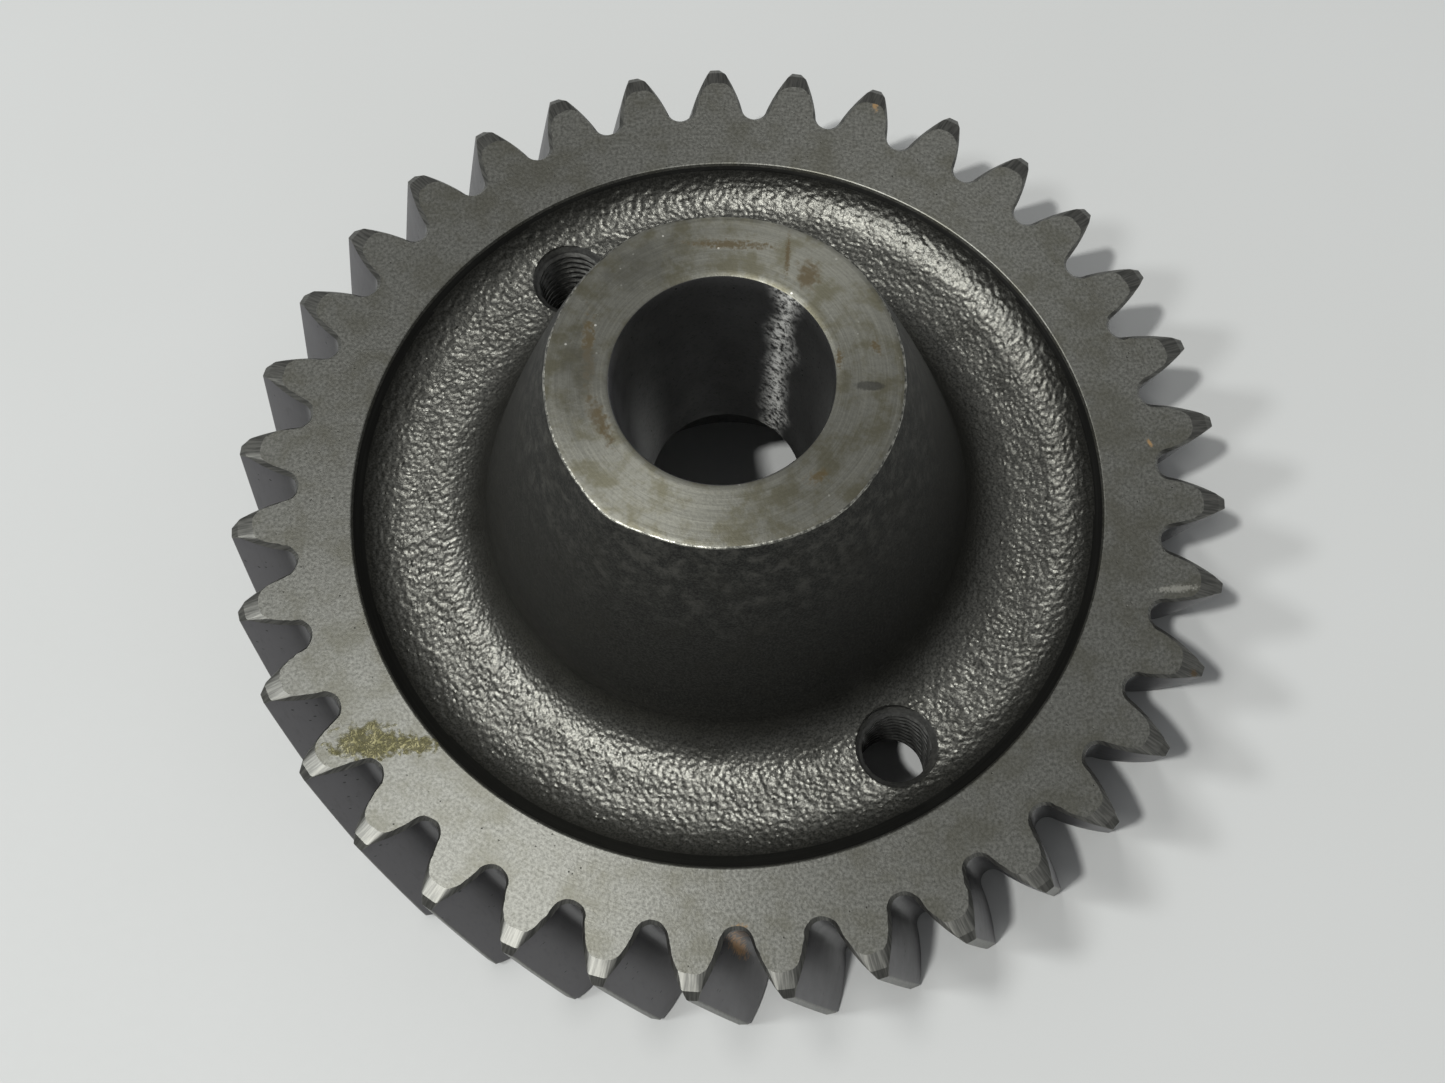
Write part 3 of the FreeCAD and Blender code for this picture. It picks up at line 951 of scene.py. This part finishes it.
def bore_material():
    """The bored taper: dark and smooth, with fretted pits, a bright strip painted down one side for a glint, and a
    pale painted reflection on the wall across from it.
    """
    t = Tree("bored_taper")
    fret = t.noise(0.55, 3.0, 0.65)
    cloud = t.noise(5.0, 2.0)
    pits = t.math("MULTIPLY", t.steps(t.voronoi(1.4), 0.14, 0.07), t.steps(t.noise(3.0), 0.5, 0.58))
    x, y, _, _ = t.axes()
    across = t.math("MULTIPLY", x, -math.sin(math.radians(PAINTED_GLINT_ANGLE)))
    across = t.math("ADD", across, t.math("MULTIPLY", y, math.cos(math.radians(PAINTED_GLINT_ANGLE))))
    along = t.math("MULTIPLY", x, math.cos(math.radians(PAINTED_GLINT_ANGLE)))
    along = t.math("ADD", along, t.math("MULTIPLY", y, math.sin(math.radians(PAINTED_GLINT_ANGLE))))
    wander = t.math("MULTIPLY", t.math("SUBTRACT", t.noise(6.0), 0.5), 0.004)
    # painted highlight: a bright, less metallic strip down the bore wall that stands for a glint
    painted_glint = t.steps(t.math("ABSOLUTE", t.math("ADD", across, wander)), 0.0032, 0.0002)
    painted_glint = t.math("MULTIPLY", painted_glint, t.steps(along, 0.0, 0.002))
    painted_glint = t.math("MULTIPLY", painted_glint, t.steps(t.noise(0.8, 4.0, 0.7), 0.34, 0.62))
    colour = t.mix(cloud, (0.14, 0.14, 0.138), (0.24, 0.24, 0.235))
    colour = t.mix(t.math("MULTIPLY", t.steps(fret, 0.5, 0.75), 0.45), colour, (0.05, 0.05, 0.048))
    # painted reflection: the wall across the bore from the glint strip is lightened with a pale, cloudy grey
    painted_reflection = t.math("MULTIPLY", t.steps(along, -0.002, -0.011), t.steps(cloud, 0.1, 0.6))
    colour = t.mix(painted_reflection, colour, (0.5, 0.5, 0.52))
    colour = t.mix(painted_glint, colour, (0.8, 0.8, 0.76))
    colour = t.mix(pits, colour, (0.01, 0.01, 0.01))
    rough = t.math("ADD", 0.27, t.math("MULTIPLY", fret, 0.18))
    rough = t.math("ADD", rough, t.math("MULTIPLY", painted_glint, 0.3))
    height = t.math("SUBTRACT", t.math("MULTIPLY", fret, 0.7), pits)
    metallic = t.blend_value(painted_glint, 0.86, 0.2)
    return t.finish(colour, rough, t.bump(height, 0.035, 0.8), metallic)


def floor_material():
    t = Tree("pale_table")
    colour = t.mix(t.noise(60.0, 2.0), (0.60, 0.61, 0.60), (0.63, 0.64, 0.635))
    return t.finish(colour, t.math("ADD", 0.6, t.math("MULTIPLY", t.noise(2.0), 0.1)), t.bump(t.noise(1.2, 3.0), 0.02, 0.3), 0.0)


# ---------------------------------------------------------------- stage, light and camera


def build_floor():
    half = 5.0
    mesh = bpy.data.meshes.new("table")
    mesh.from_pydata([(-half, -half, 0), (half, -half, 0), (half, half, 0), (-half, half, 0)], [], [(0, 1, 2, 3)])
    mesh.materials.append(floor_material())
    table = bpy.data.objects.new("table", mesh)
    bpy.context.scene.collection.objects.link(table)


def add_light(name, direction, distance, size, power, colour=(1, 1, 1)):
    """A soft square light that looks at the gear from a direction."""
    light = bpy.data.lights.new(name, "AREA")
    light.shape = "DISK"
    light.size = size
    light.energy = power
    light.color = colour
    lamp = bpy.data.objects.new(name, light)
    bpy.context.scene.collection.objects.link(lamp)
    away = Vector(direction).normalized()
    lamp.location = away * distance
    lamp.rotation_euler = away.to_track_quat("Z", "Y").to_euler()


def build_world():
    """A dim room, brightest overhead, that the camera itself sees as a plain pale backdrop."""
    world = bpy.data.worlds.new("room")
    world.use_nodes = True
    nodes, links = world.node_tree.nodes, world.node_tree.links
    background = nodes["Background"]
    split = nodes.new("ShaderNodeSeparateXYZ")
    links.new(nodes.new("ShaderNodeTexCoord").outputs["Generated"], split.inputs[0])
    rise = nodes.new("ShaderNodeMapRange")
    links.new(split.outputs["Z"], rise.inputs["Value"])
    rise.inputs["To Min"].default_value = HORIZON_LIGHT
    rise.inputs["To Max"].default_value = ZENITH_LIGHT
    path = nodes.new("ShaderNodeLightPath")
    seen = nodes.new("ShaderNodeMix")
    links.new(path.outputs["Is Camera Ray"], seen.inputs["Factor"])
    links.new(rise.outputs["Result"], seen.inputs[2])
    seen.inputs[3].default_value = BACKDROP_LIGHT
    links.new(seen.outputs[0], background.inputs["Strength"])
    background.inputs["Color"].default_value = (0.97, 0.985, 1.0, 1.0)
    bpy.context.scene.world = world


def build_light():
    """A small lamp near the camera's left, a weaker one further left, a soft one above, and the room."""
    add_light("key_lamp", (-0.275, -0.265, 1.0), 1.8, 0.08, 16.0, (1.0, 1.0, 0.98))
    add_light("left_lamp", (-0.65, -0.12, 1.0), 1.8, 0.22, 7.0, (0.98, 1.0, 1.0))
    add_light("ceiling_lamp", (-0.22, 0.14, 1.0), 1.8, 0.30, 4.5, (1.0, 1.0, 0.98))
    build_world()
    bpy.context.scene.view_settings.view_transform = "Standard"


def build_camera():
    """Above the front of the gear, about 70 degrees up, with its picture turned a little."""
    camera = bpy.data.cameras.new("camera")
    camera.sensor_width = 36.0
    camera.lens = 50.19
    camera.clip_start = 0.01
    eye = bpy.data.objects.new("camera", camera)
    bpy.context.scene.collection.objects.link(eye)
    right = Vector((0.99986, 0.0, -0.0165))
    up = Vector((0.00556, 0.94147, 0.33704))
    back = right.cross(up)
    turn = Matrix((right, up, back)).transposed().to_4x4()
    eye.matrix_world = Matrix.Translation(Vector((4.11, -110.26, 318.34)) * MM) @ turn
    bpy.context.scene.camera = eye


build_camera()
build_floor()
build_light()
skin = skin_material()
build_rim(rim_face_material(), chamfer_material(), flank_material())
thread_metal = thread_material()
for label, (centre, mouth) in zip(("front", "back"), build_web(skin, lip_material())):
    build_thread(f"puller_thread_{label}", centre, mouth, thread_metal)
build_hub(skin, end_face_material(), bore_material(), burr_material())
